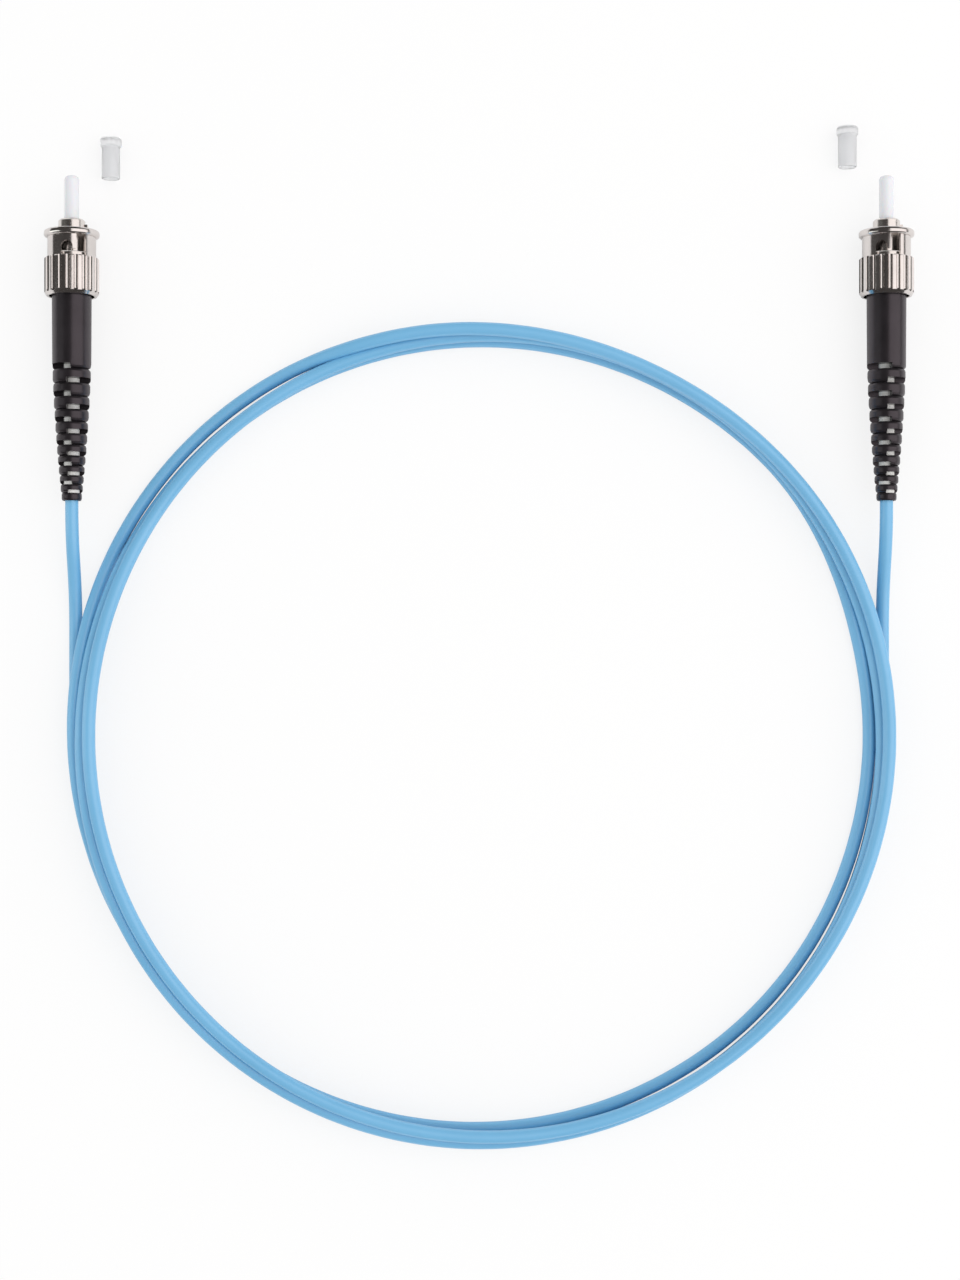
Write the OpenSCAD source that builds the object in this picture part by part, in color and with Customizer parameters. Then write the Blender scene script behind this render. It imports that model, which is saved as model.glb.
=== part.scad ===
// Fibre patch cord with a bayonet connector at each end, coiled and laid flat.
// Both ferrule caps are off and lie beside their connectors. Millimetres, +Z up,
// connectors point along +Y and rest on z = 0 by the rims of their coupling nuts.

/* [Ferrule] */
// Outside diameter of the ceramic ferrule
ferrule_d = 2.5; // [2.4:0.05:2.6]
// Length of ferrule that stands out of the keyed holder
ferrule_exposed = 7.65; // [6:0.05:9]
// Length of ferrule pressed into the keyed holder
ferrule_seat = 8; // [6:0.5:8.5]
// Width of the bevel round the ferrule tip
ferrule_bevel = 0.45; // [0.2:0.05:0.6]
// Length of the glue groove behind the mouth of the holder
glue_groove_len = 0.8; // [0.6:0.1:1.2]
// Depth of the glue groove
glue_groove_depth = 0.2; // [0.17:0.01:0.25]
// Diameter of the hole for the glass fibre
fibre_hole_d = 0.14; // [0.13:0.01:0.2]

/* [Fibre] */
// Diameter of the bare glass fibre
glass_d = 0.125; // [0.1:0.005:0.125]
// Diameter of the fibre with its tight buffer
buffer_d = 0.9; // [0.6:0.1:0.9]

/* [Keyed holder] */
// Diameter of the nose that enters the adapter
nose_d = 4.6; // [4.2:0.1:5]
// How far the nose stands out of the nut
nose_proud = 1.9; // [1:0.1:3]
// Width of the key on the nose
key_w = 1; // [0.6:0.1:1.4]
// Height of the key above the nose
key_h = 0.45; // [0.2:0.05:0.55]
// Distance from the front of the nose back to the key
key_setback = 0.9; // [0.3:0.1:1.5]
// Diameter of the neck that the nut slides on
neck_d = 4.8; // [4.4:0.1:5]
// Thickness of the collar that the spring pushes on
collar_t = 0.7; // [0.5:0.05:1]
// Depth from the front of the nut to the collar
barrel_room = 3.95; // [3.6:0.05:4.2]

/* [Coupling nut] */
// Diameter of the front rim
rim_d = 9.5; // [9.4:0.1:10]
// Length of the front rim
rim_len = 1.2; // [0.8:0.1:1.6]
// Rounding of the rim edges
rim_round = 0.45; // [0.2:0.05:0.5]
// Diameter of the slotted barrel
barrel_d = 8.3; // [8.1:0.1:8.6]
// Length of the slotted barrel
barrel_len = 3.55; // [3.4:0.05:4]
// Bore that goes over the adapter barrel
nut_bore_d = 7.15; // [7.1:0.05:7.3]
// Diameter over the grip
grip_d = 9.34; // [9.1:0.02:9.38]
// Length of the grip
grip_len = 6.6; // [6:0.1:7.2]
// Number of flutes round the grip
flutes = 21; // [16:1:22]
// Radius of the cutter for each flute
flute_r = 0.42; // [0.36:0.02:0.46]
// Depth of a flute
flute_depth = 0.32; // [0.2:0.02:0.34]
// Length of the plain band behind the flutes
plain_band = 0.4; // [0.3:0.1:1.4]
// Bore of the skirt round the boot
skirt_bore_d = 7.8; // [7.6:0.1:8]
// Depth of the skirt bore
skirt_depth = 1.9; // [1.6:0.1:2.2]
// Thickness of the inner web that slides on the neck
web_t = 0.8; // [0.6:0.05:1]

/* [Bayonet slots] */
// Width of the entry channel for an adapter lug
channel_w = 1.75; // [1.6:0.05:1.9]
// Width of the pocket where the lug locks
pocket_w = 2; // [1.8:0.05:2.1]
// Angle of the entry channel from the top of the nut
channel_at = 23; // [20:1:26]
// Angle of the locking pocket from the top of the nut
pocket_at = -12; // [-16:1:-10]
// Distance from the rim back to the top of the pocket
pocket_drop = 1.1; // [0.8:0.1:1.4]
// Length of the cam bar between channel and pocket
cam_len = 2.5; // [2:0.1:2.7]
// Diameter across the adapter lugs
lug_circle_d = 8.7; // [8.5:0.1:8.8]

/* [Spring and clip] */
// Wire diameter of the coupling spring
wire_d = 0.4; // [0.3:0.05:0.42]
// Turns of the coupling spring
spring_turns = 4; // [3:0.5:4]
// Outside diameter of the coupling spring
spring_d = 6.3; // [6:0.1:6.6]
// Thickness of the thrust washer
washer_t = 0.3; // [0.2:0.05:0.4]
// Thickness of the retaining clip
clip_t = 0.45; // [0.3:0.05:0.5]
// Outside diameter of the retaining clip
clip_d = 6.6; // [6:0.1:6.8]
// Opening of the retaining clip, in degrees
clip_gap = 70; // [50:5:90]
// Depth of the clip groove in the neck
groove_depth = 0.35; // [0.2:0.05:0.4]

/* [Crimp] */
// Diameter of the ridged crimp post
post_d = 3.2; // [3:0.1:3.4]
// Length of the crimp post
post_len = 5.7; // [5:0.1:6.5]
// Ridges turned on the crimp post
post_ridges = 7; // [4:1:9]
// Diameter of the spigot pressed into the holder
spigot_d = 3; // [2.6:0.1:3.2]
// Length of the spigot
spigot_len = 2.5; // [1.5:0.1:2.9]
// Diameter of the stop flange in front of the post
flange_d = 5.2; // [5:0.1:5.4]
// Length of the stop flange
flange_len = 1.1; // [0.8:0.1:1.3]
// Thickness of the aramid yarn folded over the post
yarn_t = 0.2; // [0.1:0.05:0.3]
// Wall of the crimp sleeve
sleeve_wall = 0.3; // [0.2:0.05:0.35]
// Length of the crimp sleeve behind the post
sleeve_tail = 3.4; // [2.5:0.1:4.5]
// Wall of the white shrink sleeve on the jacket
shrink_wall = 0.18; // [0.1:0.02:0.2]
// Distance from the end of the boot to the shrink sleeve
shrink_inset = 0.6; // [0.3:0.1:1.5]

/* [Boot] */
// Diameter of the boot at its front
boot_d = 6.8; // [6.6:0.1:7]
// Taper of the plain front, on diameter
boot_draft = 0.14; // [0:0.02:0.2]
// Length of the plain front
boot_front_len = 13.4; // [12:0.1:15]
// Length of the slotted tail
boot_flex_len = 22.7; // [20:0.1:28]
// Diameter of the first slotted segment
flex_d = 6.5; // [6.2:0.1:6.6]
// Diameter of the last segment
tail_d = 3.45; // [3.35:0.05:4]
// Number of slot rows
slot_rows = 12; // [8:1:13]
// Depth of the waist between segments
waist = 0.36; // [0.2:0.02:0.4]
// Share of a segment's length that each slot takes
slot_share = 0.4; // [0.3:0.02:0.45]
// Distance from the boot's middle to the near side of each bridge
bridge_inset = 0.4; // [0.2:0.1:0.8]
// How far the front of the boot reaches into the nut
boot_in_nut = 0.75; // [0.4:0.05:0.95]

/* [Dust caps] */
// Length of a ferrule cap
cap_len = 7.1; // [6:0.1:9]
// Diameter of the cap body
cap_d = 3.15; // [3.1:0.05:3.6]
// Diameter of the cap head
cap_head_d = 3.7; // [3.6:0.05:4.2]
// Length of the cap head
cap_head_len = 1.5; // [1:0.1:2]
// Depth of the cap bore
cap_bore_depth = 5.9; // [4.5:0.1:5.9]
// Sideways distance from each connector to its cap
cap_side = 6.25; // [6.2:0.05:12]
// How far the left cap lies ahead of its ferrule
left_cap_ahead = 0.1; // [0:0.1:6]
// How far the right cap lies ahead of its ferrule
right_cap_ahead = 2.1; // [0:0.1:6]

/* [Cord] */
// Diameter of the cord's jacket
cord_d = 2.3; // [2.2:0.05:2.35]
// Distance between the two connector axes
span_x = 141; // [136:0.5:146]
// Radius of the coil, to the middle of its bundle
coil_r = 69.8; // [69:0.1:71]
// Width of the coil's bundle
bundle_w = 6.8; // [6.4:0.1:7.2]
// Height of the coil's bundle
bundle_h = 8.2; // [7.5:0.1:9]
// Distance from the ends of the boots back to the coil's centre
coil_back = 40.75; // [38:0.25:44]

/* [Fits] */
// Radial clearance of the sliding nut on the neck
slide_gap = 0.08; // [0.05:0.01:0.1]
// Radial clearance of the ferrule in the cap
cap_gap = 0.02; // [0.01:0.01:0.04]
// Radial clearance between pieces that are pressed or clamped together
press_gap = 0.01; // [0.01:0.01:0.03]
// Clearance between loose pieces inside the nut
loose_gap = 0.18; // [0.15:0.01:0.2]
// Clearance between faces that meet
face_gap = 0.02; // [0:0.01:0.05]

/* [Hidden] */
$fn = 48;
LEFT = -1;
RIGHT = 1;

// Stations along a connector's axis, from the end of its boot forwards
boot_len = boot_flex_len + boot_front_len;
nut_z = boot_len - boot_in_nut;
nut_len = grip_len + barrel_len + rim_len;
web_z = nut_z + skirt_depth;
washer_z = web_z + web_t + face_gap;
spring_z = washer_z + washer_t + face_gap;
collar_z = nut_z + nut_len - barrel_room - collar_t;
spring_len = collar_z - face_gap - spring_z;
nose_z = nut_z + nut_len + nose_proud;
tip_z = nose_z + ferrule_exposed;
clip_z = web_z - face_gap - clip_t;
holder_z = clip_z - 0.4;
flange_z = holder_z - flange_len;
post_z = flange_z - post_len;
sleeve_z = post_z - sleeve_tail;
jacket_z = post_z - 0.7;

// Radii that follow from the fits
nut_bore_r = nut_bore_d / 2;
neck_r = neck_d / 2;
collar_r = nut_bore_r - loose_gap;
post_r = post_d / 2;
cord_r = cord_d / 2;
yarn_r = post_r + press_gap + yarn_t;
sleeve_front_r = yarn_r + press_gap + sleeve_wall;
sleeve_tail_r = cord_r + press_gap + sleeve_wall;
shrink_r = cord_r + press_gap + shrink_wall;
fibre_bore_r = buffer_d / 2 + 0.1;
sleeve_step = post_z - press_gap - 0.1;

// Where the connectors and caps lie
axis_h = rim_d / 2;
tail_y = -(tip_z + right_cap_ahead + cap_len) / 2;
coil_center = [0.5, tail_y - coil_back];
// Route of a lead: distance from the boot's end, and share of the drop to the floor
lead_route = [
    [20, 0], [10, 0], [0, 0], [-4, 0.04], [-8, 0.24], [-12, 0.57], [-16, 0.85],
    [-20, 0.98], [-25, 1]
];

function unit(v) = v / norm(v);
function tangent(p, i) = unit(p[min(i + 1, len(p) - 1)] - p[max(i - 1, 0)]);
function from_top(angle, r) = [r * sin(angle), -r * cos(angle)];
function slot_row(i) = boot_flex_len * (1 - i / slot_rows) * (1 - 0.3 * i / slot_rows);
function segment_r(i) = (flex_d - (flex_d - tail_d) * pow(i / (slot_rows - 1), 1.15)) / 2;
function waist_at(i) = min(waist, (segment_r(i) - shrink_r) / 2.2);

// A round tube along a list of points, as one closed polyhedron
module sweep(points, radius, sides, up) {
    n = len(points);
    rings = [
        for (i = [0 : n - 1])
            let (t = tangent(points, i), u = unit(cross(t, up)), v = cross(u, t))
            for (k = [0 : sides - 1])
                points[i] + radius * (cos(360 * k / sides) * u + sin(360 * k / sides) * v)
    ];
    walls = [
        for (i = [0 : n - 2])
            for (k = [0 : sides - 1])
                let (a = i * sides + k, b = i * sides + (k + 1) % sides)
                each [[a, b, b + sides], [a, b + sides, a + sides]]
    ];
    start = [for (k = [sides - 1 : -1 : 0]) k];
    end = [for (k = [0 : sides - 1]) (n - 1) * sides + k];
    polyhedron(rings, concat([start], walls, [end]));
}

// Puts a piece made round +Z on a connector's axis, nose towards +Y
module on_axis(side) {
    translate([side * span_x / 2, tail_y, axis_h]) rotate([-90, 0, 0]) children();
}

module tube(r_out, r_in, z0, z1) {
    translate([0, 0, z0]) difference() {
        cylinder(r = r_out, h = z1 - z0);
        translate([0, 0, -1]) cylinder(r = r_in, h = z1 - z0 + 2);
    }
}

// White zirconia: bevelled and domed tip, glue groove, funnel for the fibre behind
module ferrule() {
    r = ferrule_d / 2;
    hole_r = fibre_hole_d / 2;
    back = nose_z - ferrule_seat;
    mouth = nose_z - 0.1;
    color("#f4f3ef") rotate_extrude() polygon([
        [hole_r, back + 1.2], [buffer_d / 2, back], [r - 0.2, back], [r, back + 0.2],
        [r, mouth - glue_groove_len], [r - glue_groove_depth, mouth - glue_groove_len],
        [r - glue_groove_depth, mouth], [r, mouth],
        [r, tip_z - 1.5 * ferrule_bevel], [r - 0.35 * ferrule_bevel, tip_z - 0.62 * ferrule_bevel],
        [r - ferrule_bevel, tip_z - 0.2 * ferrule_bevel], [0.5 * r, tip_z - 0.03], [hole_r, tip_z]
    ]);
}

// Buffered fibre from the cord's jacket, stripped to bare glass inside the ferrule
module fibre() {
    bare_z = nose_z - ferrule_seat + 0.2;
    color("#bfe8f2") {
        translate([0, 0, jacket_z + face_gap]) cylinder(d = buffer_d, h = bare_z - jacket_z - face_gap - 0.6);
        translate([0, 0, bare_z - 0.6]) cylinder(d = glass_d, h = tip_z - bare_z + 0.58);
    }
}

// Turned, keyed holder: nose, spring collar, neck and clip groove
module keyed_holder() {
    nose_r = nose_d / 2;
    seat_z = nose_z - ferrule_seat;
    color("#c9c4bf") difference() {
        union() {
            rotate_extrude() polygon([
                [0, holder_z], [neck_r - 0.15, holder_z], [neck_r, holder_z + 0.15],
                [neck_r, clip_z - face_gap], [neck_r - groove_depth, clip_z - face_gap],
                [neck_r - groove_depth, clip_z + clip_t + face_gap],
                [neck_r, clip_z + clip_t + face_gap],
                [neck_r, collar_z], [collar_r - 0.1, collar_z], [collar_r, collar_z + 0.1],
                [collar_r, collar_z + collar_t - 0.15], [collar_r - 0.15, collar_z + collar_t],
                [nose_r, collar_z + collar_t], [nose_r, nose_z - 0.3], [nose_r - 0.3, nose_z],
                [0, nose_z]
            ]);
            translate([nose_r - 0.3, -key_w / 2, collar_z + collar_t - 0.1])
                cube([key_h + 0.3, key_w, nose_z - key_setback - collar_z - collar_t + 0.1]);
        }
        translate([0, 0, seat_z]) cylinder(d = ferrule_d + 2 * press_gap, h = ferrule_seat + 1);
        translate([0, 0, holder_z - 1]) cylinder(r = fibre_bore_r, h = seat_z - holder_z + 2);
        translate([0, 0, holder_z - 1]) cylinder(d = spigot_d + 2 * press_gap, h = spigot_len + 1.1);
    }
}

// Footprint of a slot of some width, from the nut's axis outwards
module slot_strip(angle, width) {
    rotate(angle) translate([-width / 2, -rim_d]) square([width, rim_d]);
}

// One J-shaped bayonet slot: entry channel, cross way and locking pocket
module bayonet_slot() {
    rim_z = grip_len + barrel_len;
    arch_z = rim_z - pocket_drop - pocket_w / 2;
    translate([0, 0, grip_len]) {
        linear_extrude(barrel_len - cam_len) {
            slot_strip(channel_at, channel_w);
            slot_strip(pocket_at, pocket_w);
            polygon([[0, 0], from_top(pocket_at, rim_d), from_top(channel_at, rim_d)]);
        }
        linear_extrude(barrel_len) slot_strip(channel_at, channel_w);
    }
    rotate([0, 0, pocket_at]) rotate([90, 0, 0]) linear_extrude(rim_d) {
        translate([0, arch_z]) circle(d = pocket_w);
        translate([-pocket_w / 2, rim_z - cam_len - 0.3]) square([pocket_w, arch_z - rim_z + cam_len + 0.3]);
    }
    // Way for the lug under the rim, closed on the outside
    intersection() {
        translate([0, 0, rim_z - 0.1]) linear_extrude(rim_len + 1) slot_strip(channel_at, channel_w);
        cylinder(d = lug_circle_d, h = nut_len + 1);
    }
}

// Nickel-plated coupling nut with ridged grip, two bayonet slots and an inner web
module coupling_nut(roll) {
    grip_r = grip_d / 2;
    rim_r = rim_d / 2;
    barrel_r = barrel_d / 2;
    rim_z = grip_len + barrel_len;
    color("#d8d0ca") translate([0, 0, nut_z]) rotate([0, 0, roll]) difference() {
        rotate_extrude() polygon([
            [0, 0], [grip_r - 0.37, 0], [grip_r, 0.55], [grip_r, grip_len - 0.2],
            [grip_r - 0.2, grip_len], [barrel_r, grip_len], [barrel_r, rim_z],
            [rim_r - rim_round, rim_z],
            for (a = [-67.5 : 22.5 : 0])
                [rim_r - rim_round * (1 - cos(a)), rim_z + rim_round * (1 + sin(a))],
            for (a = [0 : 22.5 : 90])
                [rim_r - rim_round * (1 - cos(a)), rim_z + rim_len - rim_round * (1 - sin(a))],
            [0, rim_z + rim_len]
        ]);
        for (i = [0 : flutes - 1])
            rotate([0, 0, (i + 0.5) * 360 / flutes])
                translate([0, -grip_r + flute_depth - flute_r, plain_band + flute_r]) {
                    sphere(r = flute_r);
                    cylinder(r = flute_r, h = grip_len);
                }
        rotate_extrude() polygon([
            [0, -1], [skirt_bore_d / 2, -1], [skirt_bore_d / 2, skirt_depth],
            [neck_r + slide_gap, skirt_depth], [neck_r + slide_gap, skirt_depth + web_t],
            [nut_bore_r, skirt_depth + web_t], [nut_bore_r, nut_len - 0.2],
            [nut_bore_r + 0.25, nut_len + 0.05], [nut_bore_r + 0.25, nut_len + 1], [0, nut_len + 1]
        ]);
        for (turn = [0, 180]) rotate([0, 0, turn]) bayonet_slot();
    }
}

// Compression spring between the holder's collar and the thrust washer
module spring() {
    steps = 16 * spring_turns;
    helix_r = (spring_d - wire_d) / 2;
    rise = spring_len - wire_d;
    helix = [
        for (i = [0 : steps])
            [helix_r * cos(360 * i / 16), helix_r * sin(360 * i / 16), spring_z + wire_d / 2 + rise * i / steps]
    ];
    color("#9a9a98") sweep(helix, wire_d / 2 - 0.002, 8, [0, 0, 1]);
}

module thrust_washer() {
    color("#b9b6b2") tube(nut_bore_r - loose_gap, neck_r + slide_gap, washer_z, washer_z + washer_t);
}

// Open clip that snaps into the neck's groove behind the nut's web
module retaining_clip() {
    color("#8f9092") difference() {
        tube(clip_d / 2, neck_r - groove_depth + press_gap, clip_z, clip_z + clip_t);
        translate([0, 0, clip_z - 1]) linear_extrude(clip_t + 2) polygon([
            [0, 0], clip_d * [cos(clip_gap / 2), sin(clip_gap / 2)], [2 * clip_d, 0],
            clip_d * [cos(clip_gap / 2), -sin(clip_gap / 2)]
        ]);
    }
}

// Brass post behind the holder: spigot, stop flange and ridges that grip the yarn
module crimp_post() {
    pitch = post_len / post_ridges;
    color("#b8a58a") difference() {
        union() {
            translate([0, 0, flange_z]) cylinder(d = spigot_d, h = flange_len + spigot_len);
            translate([0, 0, flange_z]) cylinder(d = flange_d, h = flange_len - face_gap);
            rotate_extrude() polygon([
                [0, post_z], [post_r - 0.12, post_z],
                for (i = [0 : post_ridges - 1])
                    each [
                        [post_r, post_z + (i + 0.3) * pitch], [post_r, post_z + (i + 0.7) * pitch],
                        [post_r - 0.12, post_z + (i + 1) * pitch]
                    ],
                [0, flange_z]
            ]);
        }
        translate([0, 0, post_z - 1]) cylinder(r = fibre_bore_r, h = tip_z);
    }
}

module aramid_yarn() {
    color("#e8c64a") tube(yarn_r, post_r + press_gap, post_z + 0.1, flange_z - 0.1);
}

// Crimp sleeve: wide over yarn and post, necked down onto the jacket
module crimp_sleeve() {
    front_in = yarn_r + press_gap;
    tail_in = cord_r + press_gap;
    color("#c4bfb9") rotate_extrude() polygon([
        [tail_in, sleeve_z], [sleeve_tail_r, sleeve_z], [sleeve_tail_r, sleeve_step - 0.6],
        [sleeve_front_r, sleeve_step], [sleeve_front_r, flange_z - 0.1],
        [front_in, flange_z - 0.1], [front_in, sleeve_step], [tail_in, sleeve_step - 0.6]
    ]);
}

// White shrink sleeve on the jacket, seen through the boot's slots
module shrink_sleeve() {
    color("#f2f2ee") tube(shrink_r, cord_r + press_gap, shrink_inset, sleeve_z - face_gap);
}

// Slots of one row: two openings on opposite sides that leave two bridges
module slot_pair(row, width, mirrored) {
    reach = boot_d;
    for (turn = [0, 180])
        rotate([0, 0, turn])
            translate([mirrored ? -bridge_inset : -reach, -reach, row])
                cube([reach + bridge_inset, reach, width]);
}

// Moulded rubber boot: plain front, then segments joined by alternating bridges
module boot() {
    front_r = boot_d / 2;
    seat_r = flange_d / 2 + 0.05;
    cavity_r = sleeve_front_r + 0.05;
    bore_r = shrink_r + 0.05;
    tail_seat_r = max(sleeve_tail_r, shrink_r) + 0.05;
    color("#2b2a2d") difference() {
        rotate_extrude() polygon([
            [0, 0],
            for (i = [slot_rows - 1 : -1 : 0])
                let (top = slot_row(i), bottom = slot_row(i + 1), r = segment_r(i))
                let (edge = min(0.28 * (top - bottom), 0.5), dip = waist_at(i))
                each [
                    [r - dip, bottom], [r - 0.3 * dip, bottom + 0.4 * edge], [r, bottom + edge],
                    [r, top - edge], [r - 0.3 * dip, top - 0.4 * edge], [r - dip, top]
                ],
            [front_r - boot_draft / 2 - 0.12, boot_flex_len + 0.15],
            [front_r - boot_draft / 2, boot_flex_len + 0.45],
            [front_r, boot_len - 0.25], [front_r - 0.25, boot_len], [0, boot_len]
        ]);
        for (i = [0 : slot_rows - 1])
            slot_pair(slot_row(i) - 0.1, slot_share * (slot_row(i) - slot_row(i + 1)), i % 2 == 1);
        rotate_extrude() polygon([
            [0, -1], [bore_r, -1], [bore_r, sleeve_z - 0.1], [tail_seat_r, sleeve_z - 0.1],
            [tail_seat_r, sleeve_step - 0.75], [cavity_r, sleeve_step - 0.1],
            [cavity_r, flange_z - 0.05], [seat_r, flange_z - 0.05], [seat_r, boot_len + 1],
            [0, boot_len + 1]
        ]);
    }
}

// Soft translucent cap with a blind bore and a rounded head
module dust_cap(side, ahead) {
    head_r = cap_head_d / 2;
    round_r = 0.45;
    translate([side * (span_x / 2 - cap_side), tail_y + tip_z + ahead, head_r]) rotate([-90, 0, 0])
        color("#eef1f3", 0.8) rotate_extrude() polygon([
            [ferrule_d / 2 + cap_gap, 0], [cap_d / 2 - 0.08, 0], [cap_d / 2, 0.1],
            [cap_d / 2, cap_len - cap_head_len - 0.2], [head_r - 0.1, cap_len - cap_head_len],
            [head_r, cap_len - cap_head_len + 0.15],
            for (a = [0 : 22.5 : 90])
                [head_r - round_r * (1 - cos(a)), cap_len - round_r * (1 - sin(a))],
            [0, cap_len], [0, cap_bore_depth], [ferrule_d / 2 + cap_gap, cap_bore_depth]
        ]);
}

// The uncoiled cord from inside one connector's crimp to the coil
module lead(side) {
    route = [
        for (p = concat([[jacket_z, 0]], lead_route))
            [side * span_x / 2, tail_y + p[0], axis_h - p[1] * (axis_h - cord_r)]
    ];
    color("#5aa9dd") sweep(route, cord_r, 8, [1, 0, 0]);
}

// Outer shape of the coiled cord
module cord_coil() {
    inner = coil_r - bundle_w / 2;
    outer = coil_r + bundle_w / 2;
    cut = cord_r;
    color("#5aa9dd") translate([coil_center[0], coil_center[1], 0]) rotate_extrude($fn = 96) polygon([
        [inner + cut / 2, 0], [outer - cut / 2, 0], [outer, cut], [outer, bundle_h - 2 * cut],
        [outer - 2 * cut, bundle_h], [inner + cut, bundle_h], [inner, bundle_h - cut], [inner, cut]
    ]);
}

// Roll of each nut that brings its cam bar to face the middle of the part
nut_roll = 11;

on_axis(LEFT) ferrule();  // left_ferrule
on_axis(LEFT) fibre();  // left_fibre
on_axis(LEFT) keyed_holder();  // left_keyed_holder
on_axis(LEFT) coupling_nut(nut_roll);  // left_coupling_nut
on_axis(LEFT) spring();  // left_spring
on_axis(LEFT) thrust_washer();  // left_thrust_washer
on_axis(LEFT) retaining_clip();  // left_retaining_clip
on_axis(LEFT) crimp_post();  // left_crimp_post
on_axis(LEFT) aramid_yarn();  // left_aramid_yarn
on_axis(LEFT) crimp_sleeve();  // left_crimp_sleeve
on_axis(LEFT) shrink_sleeve();  // left_shrink_sleeve
on_axis(LEFT) boot();  // left_boot
dust_cap(LEFT, left_cap_ahead);  // left_dust_cap
on_axis(RIGHT) ferrule();  // right_ferrule
on_axis(RIGHT) fibre();  // right_fibre
on_axis(RIGHT) keyed_holder();  // right_keyed_holder
on_axis(RIGHT) coupling_nut(-nut_roll);  // right_coupling_nut
on_axis(RIGHT) spring();  // right_spring
on_axis(RIGHT) thrust_washer();  // right_thrust_washer
on_axis(RIGHT) retaining_clip();  // right_retaining_clip
on_axis(RIGHT) crimp_post();  // right_crimp_post
on_axis(RIGHT) aramid_yarn();  // right_aramid_yarn
on_axis(RIGHT) crimp_sleeve();  // right_crimp_sleeve
on_axis(RIGHT) shrink_sleeve();  // right_shrink_sleeve
on_axis(RIGHT) boot();  // right_boot
dust_cap(RIGHT, right_cap_ahead);  // right_dust_cap
lead(LEFT);  // left_lead
lead(RIGHT);  // right_lead
cord_coil();
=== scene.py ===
from math import cos, pi, radians, sin, sqrt
import bpy
import numpy as np
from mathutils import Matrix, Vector


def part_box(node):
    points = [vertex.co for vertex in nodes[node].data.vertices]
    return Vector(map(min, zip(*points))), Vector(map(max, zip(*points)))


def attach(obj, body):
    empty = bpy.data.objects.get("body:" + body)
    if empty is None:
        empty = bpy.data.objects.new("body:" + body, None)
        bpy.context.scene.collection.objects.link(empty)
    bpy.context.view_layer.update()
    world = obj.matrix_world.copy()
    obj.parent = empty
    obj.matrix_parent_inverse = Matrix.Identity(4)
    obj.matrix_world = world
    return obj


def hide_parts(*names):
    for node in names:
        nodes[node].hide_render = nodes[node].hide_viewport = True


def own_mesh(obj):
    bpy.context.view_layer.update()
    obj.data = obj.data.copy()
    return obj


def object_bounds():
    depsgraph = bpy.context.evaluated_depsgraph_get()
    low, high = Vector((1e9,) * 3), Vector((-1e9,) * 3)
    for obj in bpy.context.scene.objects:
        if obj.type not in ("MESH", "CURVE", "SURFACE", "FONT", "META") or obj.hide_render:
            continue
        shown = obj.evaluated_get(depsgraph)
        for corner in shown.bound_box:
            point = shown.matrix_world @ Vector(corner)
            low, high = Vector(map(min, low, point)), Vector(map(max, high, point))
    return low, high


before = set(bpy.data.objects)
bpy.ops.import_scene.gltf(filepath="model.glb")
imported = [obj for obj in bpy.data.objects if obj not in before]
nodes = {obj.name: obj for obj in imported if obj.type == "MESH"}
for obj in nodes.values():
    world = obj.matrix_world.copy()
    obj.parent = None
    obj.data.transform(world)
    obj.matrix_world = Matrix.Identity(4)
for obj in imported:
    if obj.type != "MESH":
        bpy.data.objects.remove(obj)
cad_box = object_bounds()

MM = 0.001


# ---------------------------------------------------------------- Camera
# The part lies flat on a white table and is seen from straight above, from far enough
# away that both connectors look nearly parallel.
table_w = 166.5 * MM
view_h = 360 * MM
focus_h = 4 * MM
aside = 0.15 * MM
low, high = cad_box
look_at = Vector(((low[0] + high[0]) / 2 + aside, (low[1] + high[1]) / 2 + aside, 0))

lens = bpy.data.cameras.new("copy_stand_lens")
lens.sensor_fit = "HORIZONTAL"
lens.sensor_width = 36
lens.lens = lens.sensor_width * view_h / table_w
lens.clip_start = 0.01
lens.clip_end = 20
camera = bpy.data.objects.new("copy_stand_camera", lens)
camera.location = look_at + Vector((0, 0, view_h + focus_h))
bpy.context.scene.collection.objects.link(camera)
bpy.context.scene.camera = camera


# ---------------------------------------------------------------- Cord
# Extruded aqua jacket over the buffered fibre. It leaves the left crimp, drops to the
# table behind the boot, makes three and a half loose turns that lie on and beside each
# other, and comes back up into the right boot.
cord_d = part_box("left_lead")[1].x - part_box("left_lead")[0].x
cord_r = cord_d / 2
coil_low, coil_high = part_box("cord_coil")
coil_mid = (coil_low + coil_high) / 2
axis_h = sum(v.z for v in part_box("left_coupling_nut")) / 2


def axis_x(side):
    return sum(v.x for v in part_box(side + "_boot")) / 2


def boot_end(side):
    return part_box(side + "_boot")[0].y


# Route of a lead, in millimetres ahead of the boot's end and share of the drop to the table
lead_route = [(20, 0), (10, 0), (0, 0), (-4, 0.04), (-8, 0.24), (-12, 0.57), (-16, 0.85)]


def lead_points(side):
    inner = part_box(side + "_lead")[1].y
    drop = axis_h - cord_r
    points = [(axis_x(side), inner, axis_h)]
    for ahead, share in lead_route:
        points.append((axis_x(side), boot_end(side) + ahead * MM, axis_h - share * drop))
    return points


# Each turn is a circle pushed off centre a little, by an amount and towards an angle.
# Angles are in degrees round the coil, from +X.
turn_r = 70 * MM
turns = {"first": (1.9 * MM, 137), "second": (1.05 * MM, 267), "third": (1.2 * MM, 0)}
lean = 0.19
step = 5
strand_gap = 0.02 * MM
settle_tries = 12
closer = 12
close_enough = 0.001 * MM
left_x = axis_x("left") - coil_mid.x
right_x = axis_x("right") - coil_mid.x
beside = right_x - cord_d - strand_gap


def ease(a, start, end):
    """Smooth rise from 0 to 1 between two angles."""
    t = min(1, max(0, (a - start) / (end - start)))
    return t * t * (3 - 2 * t)


def turn(name, a):
    off, towards = turns[name]
    return turn_r + off * cos(radians(a - towards))


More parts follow.
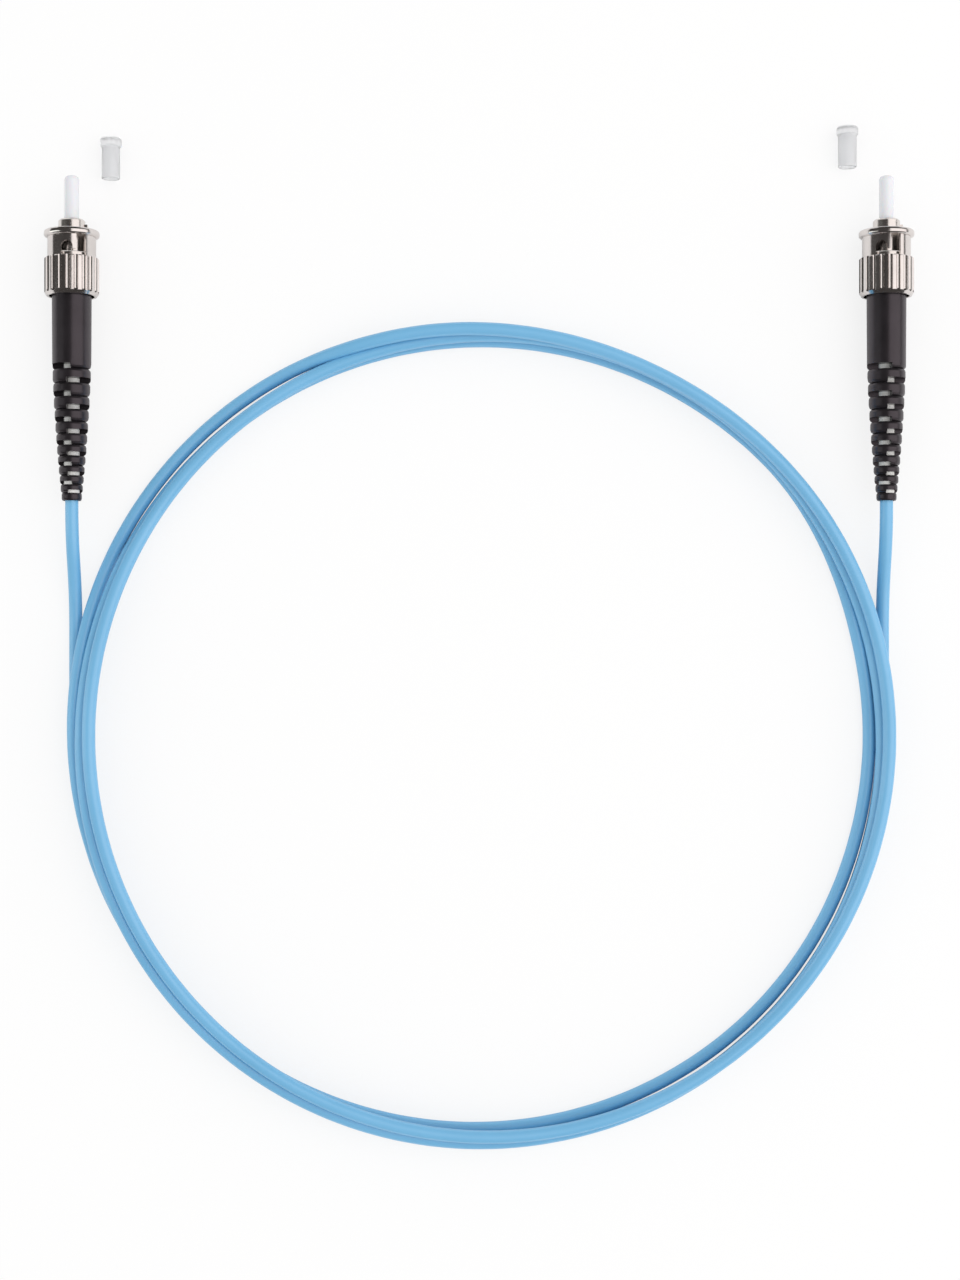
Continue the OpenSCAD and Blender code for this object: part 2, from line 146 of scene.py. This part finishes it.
def shift(before, after, a, start, end):
    """Passes from one radius to another between two angles."""
    t = ease(a, start, end)
    return before * (1 - t) + after * t


def straight(x, ys):
    return [(None, x, y * MM) for y in ys]


def arc(start, end, radius):
    return [(a, radius(a), 0) for a in range(start, end, step)]


def under(a):
    r = shift(-left_x, turn("first", a), a, 180, 215)
    return shift(r, beside, a, 305, 350)


def over_first(a):
    r = shift(turn("first", a), turn("second", a), a, 0, 60)
    return shift(beside, r, a, 8, 45)


def over_second(a):
    return shift(turn("second", a), turn("third", a), a, 0, 90)


def on_top(a):
    return shift(turn("third", a), turn("first", a), a, 30, 100)


def out(a):
    r = shift(turn("first", a), turn("second", a), a, 190, 230)
    return shift(r, right_x, a, 330, 360)


# The cord's stretches, in the order in which it runs
stretches = {
    "in": straight(left_x, range(20, 0, -4)) + arc(180, 360, under),
    "first": arc(0, 360, over_first),
    "second": arc(0, 360, over_second),
    "top": arc(0, 120, on_top),
    "out": arc(120, 365, out) + straight(right_x, range(4, 24, 4)),
}


def place(point, z):
    """Plan position of a point; higher strands lean a little towards the middle."""
    a, r, y = point
    if a is None:
        return r, y
    r -= lean * (z - cord_r)
    return r * cos(radians(a)), r * sin(radians(a))


def resting_height(point, laid):
    """Height at which a strand rests on the table or on the strands laid before it."""
    z = cord_r
    for _ in range(settle_tries):
        x, y = place(point, z)
        rest = cord_r
        for line in laid:
            gaps = np.hypot(line[:, 0] - x, line[:, 1] - y)
            i = gaps.argmin()
            if gaps[i] < cord_d:
                rest = max(rest, line[i, 2] + sqrt(cord_d**2 - gaps[i] ** 2))
        if abs(rest - z) < close_enough:
            break
        z = (z + rest) / 2
    return rest


def lay(points, laid):
    """Lays a stretch on those before it. A stiff cord spreads out each hump it crosses."""
    bend_r = 60 * MM
    raw = [resting_height(p, laid) for p in points]
    plan = np.array([place(p, z) for p, z in zip(points, raw)])
    along = np.concatenate([[0], np.cumsum(np.hypot(*np.diff(plan, axis=0).T))])
    line = []
    for point, s in zip(points, along):
        z = max(r - (s - t) ** 2 / (2 * bend_r) for r, t in zip(raw, along))
        line.append((*place(point, z), z))
    return np.array(line)


def dense(line):
    """The same line with its points closer together."""
    steps = np.linspace(0, len(line) - 1, closer * (len(line) - 1) + 1)
    return np.stack([np.interp(steps, range(len(line)), line[:, k]) for k in range(3)], 1)


# The strands that lie lowest are laid first
lines, laid = {}, []
for name in ("in", "out", "first", "second", "top"):
    lines[name] = lay(stretches[name], laid)
    laid.append(dense(lines[name]))
coil_points = np.concatenate([lines[n] for n in ("in", "first", "second", "top", "out")])
route = [Vector(p) for p in lead_points("left")]
route += [Vector((x + coil_mid.x, y + coil_mid.y, z)) for x, y, z in coil_points]
route += [Vector(p) for p in reversed(lead_points("right"))]

cord_curve = bpy.data.curves.new("patch_cord", "CURVE")
cord_curve.dimensions = "3D"
cord_curve.bevel_depth = cord_r
cord_curve.bevel_resolution = 5
cord_curve.resolution_u = 4
cord_curve.use_fill_caps = True
spline = cord_curve.splines.new("BEZIER")
spline.bezier_points.add(len(route) - 1)
for knot, p in zip(spline.bezier_points, route):
    knot.co = p
    knot.handle_left_type = knot.handle_right_type = "AUTO"
cord = bpy.data.objects.new("patch_cord", cord_curve)
bpy.context.scene.collection.objects.link(cord)


def material(name, colour, **sockets):
    """A Principled material, with its node tree ready for more nodes."""
    m = bpy.data.materials.new(name)
    m.use_nodes = True
    shader = m.node_tree.nodes["Principled BSDF"]
    shader.inputs["Base Color"].default_value = (*colour, 1)
    for socket, value in sockets.items():
        shader.inputs[socket.replace("_", " ")].default_value = value
    return m, m.node_tree, shader


def speckle(tree, scale, detail=3, stretch=(1, 1, 1)):
    """Noise on the piece's own coordinates."""
    where = tree.nodes.new("ShaderNodeTexCoord")
    mapping = tree.nodes.new("ShaderNodeMapping")
    mapping.inputs["Scale"].default_value = stretch
    noise = tree.nodes.new("ShaderNodeTexNoise")
    noise.inputs["Scale"].default_value = scale
    noise.inputs["Detail"].default_value = detail
    tree.links.new(where.outputs["Object"], mapping.inputs["Vector"])
    tree.links.new(mapping.outputs["Vector"], noise.inputs["Vector"])
    return noise.outputs["Fac"]


def between(tree, factor, low, high, socket):
    """Spreads a noise between two values of a socket."""
    spread = tree.nodes.new("ShaderNodeMapRange")
    spread.inputs["To Min"].default_value = low
    spread.inputs["To Max"].default_value = high
    tree.links.new(factor, spread.inputs["Value"])
    tree.links.new(spread.outputs["Result"], socket)


def tint(tree, factor, first, second, socket):
    """Spreads a noise between two colours."""
    ramp = tree.nodes.new("ShaderNodeValToRGB")
    ramp.color_ramp.elements[0].position = 0.3
    ramp.color_ramp.elements[0].color = (*first, 1)
    ramp.color_ramp.elements[1].position = 0.7
    ramp.color_ramp.elements[1].color = (*second, 1)
    tree.links.new(factor, ramp.inputs["Fac"])
    tree.links.new(ramp.outputs["Color"], socket)


def emboss(tree, shader, height, strength, depth):
    """Fine relief from a noise."""
    bump = tree.nodes.new("ShaderNodeBump")
    bump.inputs["Strength"].default_value = strength
    bump.inputs["Distance"].default_value = depth
    tree.links.new(height, bump.inputs["Height"])
    tree.links.new(bump.outputs["Normal"], shader.inputs["Normal"])


jacket, tree, shader = material("aqua_jacket", (0.165, 0.46, 0.735), Roughness=0.36)
tint(tree, speckle(tree, 60), (0.155, 0.445, 0.715), (0.175, 0.475, 0.755),
     shader.inputs["Base Color"])
between(tree, speckle(tree, 900), 0.28, 0.4, shader.inputs["Roughness"])
shader.inputs["Specular IOR Level"].default_value = 0.9
emboss(tree, shader, speckle(tree, 2500, detail=2), 0.12, 0.02 * MM)
cord_curve.materials.append(jacket)

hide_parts("left_lead", "right_lead", "cord_coil")
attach(cord, "cord_assembly")


# ---------------------------------------------------------------- Table and light
# White table, a large soft box high on the right, a narrow and cooler one low on the left,
# and an even room. The room is dark in reflections, as a studio is behind its lamps.
def area_light(name, place, size, power, colour):
    light = bpy.data.lights.new(name, "AREA")
    light.shape = "RECTANGLE"
    light.size, light.size_y = size
    light.energy = power
    light.color = colour
    lamp = bpy.data.objects.new(name, light)
    lamp.location = place
    lamp.rotation_euler = (look_at - Vector(place)).to_track_quat("-Z", "Y").to_euler()
    bpy.context.scene.collection.objects.link(lamp)


area_light("right_soft_box", (0.75, -0.06, 0.80), (1.1, 1.6), 6.6, (1.0, 0.955, 0.94))
area_light("left_soft_box", (-0.90, -0.06, 0.32), (0.18, 1.0), 1.0, (0.95, 1.0, 0.96))

def background(tree, colour, strength):
    light = tree.nodes.new("ShaderNodeBackground")
    light.inputs["Color"].default_value = (*colour, 1)
    light.inputs["Strength"].default_value = strength
    return light.outputs["Background"]


def mixed(tree, factor, first, second):
    mix = tree.nodes.new("ShaderNodeMixShader")
    tree.links.new(factor, mix.inputs[0])
    tree.links.new(first, mix.inputs[1])
    tree.links.new(second, mix.inputs[2])
    return mix.outputs["Shader"]


def seen_rays(tree, paths):
    """1 where the camera looks straight at a surface or through clear plastic at it."""
    either = tree.nodes.new("ShaderNodeMath")
    either.operation = "MAXIMUM"
    tree.links.new(paths.outputs["Is Camera Ray"], either.inputs[0])
    tree.links.new(paths.outputs["Is Transmission Ray"], either.inputs[1])
    return either.outputs["Value"]


world = bpy.data.worlds.new("white_room")
bpy.context.scene.world = world
world.use_nodes = True
room = world.node_tree
room.nodes.remove(room.nodes["Background"])
paths = room.nodes.new("ShaderNodeLightPath")
lit = background(room, (1, 1, 1), 0.82)
reflected = background(room, (1, 0.93, 0.9), 0.06)
seen = background(room, (1, 1, 1), 1)
lit = mixed(room, paths.outputs["Is Glossy Ray"], lit, reflected)
lit = mixed(room, seen_rays(room, paths), lit, seen)
room.links.new(lit, room.nodes["World Output"].inputs["Surface"])

table_half = 3.0
table_drop = 0.05 * MM
whiteness = 0.78
corners = [(-table_half, -table_half, 0), (table_half, -table_half, 0),
           (table_half, table_half, 0), (-table_half, table_half, 0)]
table_mesh = bpy.data.meshes.new("table")
table_mesh.from_pydata(corners, [], [(0, 1, 2, 3)])
table = bpy.data.objects.new("table", table_mesh)
bpy.context.scene.collection.objects.link(table)
table.location.z = -table_drop
laminate, tree, shader = material("white_table", (0.9, 0.9, 0.9), Roughness=0.7)
glow = tree.nodes.new("ShaderNodeEmission")
glow.inputs["Color"].default_value = (1, 1, 1, 1)
share = tree.nodes.new("ShaderNodeMath")
share.operation = "MULTIPLY"
share.inputs[1].default_value = whiteness
tree.links.new(seen_rays(tree, tree.nodes.new("ShaderNodeLightPath")), share.inputs[0])
surface = mixed(tree, share.outputs["Value"], shader.outputs["BSDF"], glow.outputs["Emission"])
tree.links.new(surface, tree.nodes["Material Output"].inputs["Surface"])
table_mesh.materials.append(laminate)

bpy.context.scene.view_settings.view_transform = "Standard"


# ---------------------------------------------------------------- Boots
# One moulding of black elastomer each, with a plain front and a slotted tail that lets
# it bend. A smooth mould leaves it nearly glossy.
def finish_node(name, m):
    mesh = nodes[name].data
    mesh.materials.clear()
    mesh.materials.append(m)


elastomer, tree, shader = material("black_elastomer", (0.013, 0.012, 0.013), Roughness=0.3)
tint(tree, speckle(tree, 300), (0.010, 0.009, 0.010), (0.017, 0.015, 0.017),
     shader.inputs["Base Color"])
between(tree, speckle(tree, 1500), 0.26, 0.36, shader.inputs["Roughness"])
shader.inputs["Specular IOR Level"].default_value = 0.7
shader.inputs["Specular Tint"].default_value = (1, 0.88, 0.98, 1)
emboss(tree, shader, speckle(tree, 4000, detail=2), 0.15, 0.02 * MM)
for side in ("left", "right"):
    finish_node(side + "_boot", elastomer)


# ---------------------------------------------------------------- Coupling nuts and holders
# Turned brass with bright nickel plate: the nut is fluted for the fingers and milled for
# the bayonet lugs, the holder is turned with the key left standing.
nickel, tree, shader = material("bright_nickel", (0.74, 0.70, 0.68), Metallic=1.0, Roughness=0.16)
tint(tree, speckle(tree, 150), (0.70, 0.66, 0.64), (0.78, 0.74, 0.72),
     shader.inputs["Base Color"])
between(tree, speckle(tree, 2000), 0.12, 0.22, shader.inputs["Roughness"])
turned, tree, shader = material("turned_nickel", (0.78, 0.74, 0.71), Metallic=1.0, Roughness=0.24)
emboss(tree, shader, speckle(tree, 400, detail=1, stretch=(0.02, 12, 0.02)), 0.1, 0.02 * MM)
for side in ("left", "right"):
    finish_node(side + "_coupling_nut", nickel)
    finish_node(side + "_keyed_holder", turned)
    finish_node(side + "_crimp_sleeve", turned)


# ---------------------------------------------------------------- Ferrules and fibre
# Ground zirconia, white and slightly cool, with the glass fibre cemented in its hole.
zirconia, tree, shader = material("ground_zirconia", (0.76, 0.77, 0.80), Roughness=0.2)
between(tree, speckle(tree, 1200), 0.14, 0.26, shader.inputs["Roughness"])
shader.inputs["Subsurface Weight"].default_value = 0.15
shader.inputs["Subsurface Scale"].default_value = 0.4 * MM
glass, tree, shader = material("glass_fibre", (0.8, 0.93, 0.97), Roughness=0.08)
tint(tree, speckle(tree, 500), (0.74, 0.9, 0.95), (0.84, 0.96, 1.0),
     shader.inputs["Base Color"])
for side in ("left", "right"):
    finish_node(side + "_ferrule", zirconia)
    finish_node(side + "_fibre", glass)


# ---------------------------------------------------------------- Parts inside the nut and boot
# Pressed steel washer and clip, brass crimp post, aramid yarn and white shrink tube.
steel, tree, shader = material("spring_steel", (0.55, 0.54, 0.53), Metallic=1.0, Roughness=0.3)
between(tree, speckle(tree, 1500), 0.22, 0.38, shader.inputs["Roughness"])
brass, tree, shader = material("turned_brass", (0.72, 0.55, 0.28), Metallic=1.0, Roughness=0.28)
between(tree, speckle(tree, 1500), 0.2, 0.36, shader.inputs["Roughness"])
yarn, tree, shader = material("aramid_yarn", (0.75, 0.55, 0.12), Roughness=0.7)
tint(tree, speckle(tree, 900, stretch=(1, 0.05, 1)), (0.66, 0.46, 0.08), (0.82, 0.64, 0.2),
     shader.inputs["Base Color"])
shrink, tree, shader = material("white_shrink_tube", (0.9, 0.9, 0.88), Roughness=0.45)
tint(tree, speckle(tree, 400), (0.86, 0.86, 0.84), (0.93, 0.93, 0.91),
     shader.inputs["Base Color"])
for side in ("left", "right"):
    for name in ("_thrust_washer", "_retaining_clip"):
        finish_node(side + name, steel)
    finish_node(side + "_crimp_post", brass)
    finish_node(side + "_aramid_yarn", yarn)
    finish_node(side + "_shrink_sleeve", shrink)


# ---------------------------------------------------------------- Springs
# Each spring is one coil of round wire with closed ends, between the holder's collar and
# the washer, drawn at one length; the real one shortens towards the collar as the nut is pushed
# forward.
wire_r = 0.2 * MM
coils = 4
closed_turn = 0.5
per_turn = 48
for side in ("left", "right"):
    low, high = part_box(side + "_spring")
    middle = (low + high) / 2
    ring_r = (high.x - low.x) / 2 - wire_r
    rise = high.y - low.y - 2 * wire_r
    curve = bpy.data.curves.new(side + "_spring_path", "CURVE")
    curve.dimensions = "3D"
    curve.bevel_depth = wire_r
    curve.bevel_resolution = 3
    curve.use_fill_caps = True
    path = curve.splines.new("POLY")
    path.points.add(per_turn * coils)
    for i, point in enumerate(path.points):
        turns_done = i / per_turn
        risen = min(1, max(0, (turns_done - closed_turn) / (coils - 2 * closed_turn)))
        angle = 2 * pi * turns_done
        point.co = (middle.x + ring_r * cos(angle), low.y + wire_r + risen * rise,
                    middle.z + ring_r * sin(angle), 1)
    drawn = bpy.data.objects.new(side + "_spring_path", curve)
    bpy.context.scene.collection.objects.link(drawn)
    bpy.context.view_layer.update()
    wire_mesh = bpy.data.meshes.new_from_object(drawn)
    bpy.data.objects.remove(drawn)
    wire_mesh.shade_smooth()
    wire_mesh.materials.clear()
    wire_mesh.materials.append(steel)
    spring = bpy.data.objects.new(side + "_spring_wire", wire_mesh)
    bpy.context.scene.collection.objects.link(spring)
    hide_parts(side + "_spring")
    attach(spring, "cord_assembly")
    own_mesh(spring)


# ---------------------------------------------------------------- Ferrule caps
# Soft translucent plastic, moulded in one piece with a blind bore.
cap_plastic, tree, shader = material("translucent_cap", (0.95, 0.955, 0.965), Roughness=0.3)
shader.inputs["Transmission Weight"].default_value = 0.8
shader.inputs["IOR"].default_value = 1.49
between(tree, speckle(tree, 700), 0.26, 0.4, shader.inputs["Roughness"])
for side in ("left", "right"):
    finish_node(side + "_dust_cap", cap_plastic)
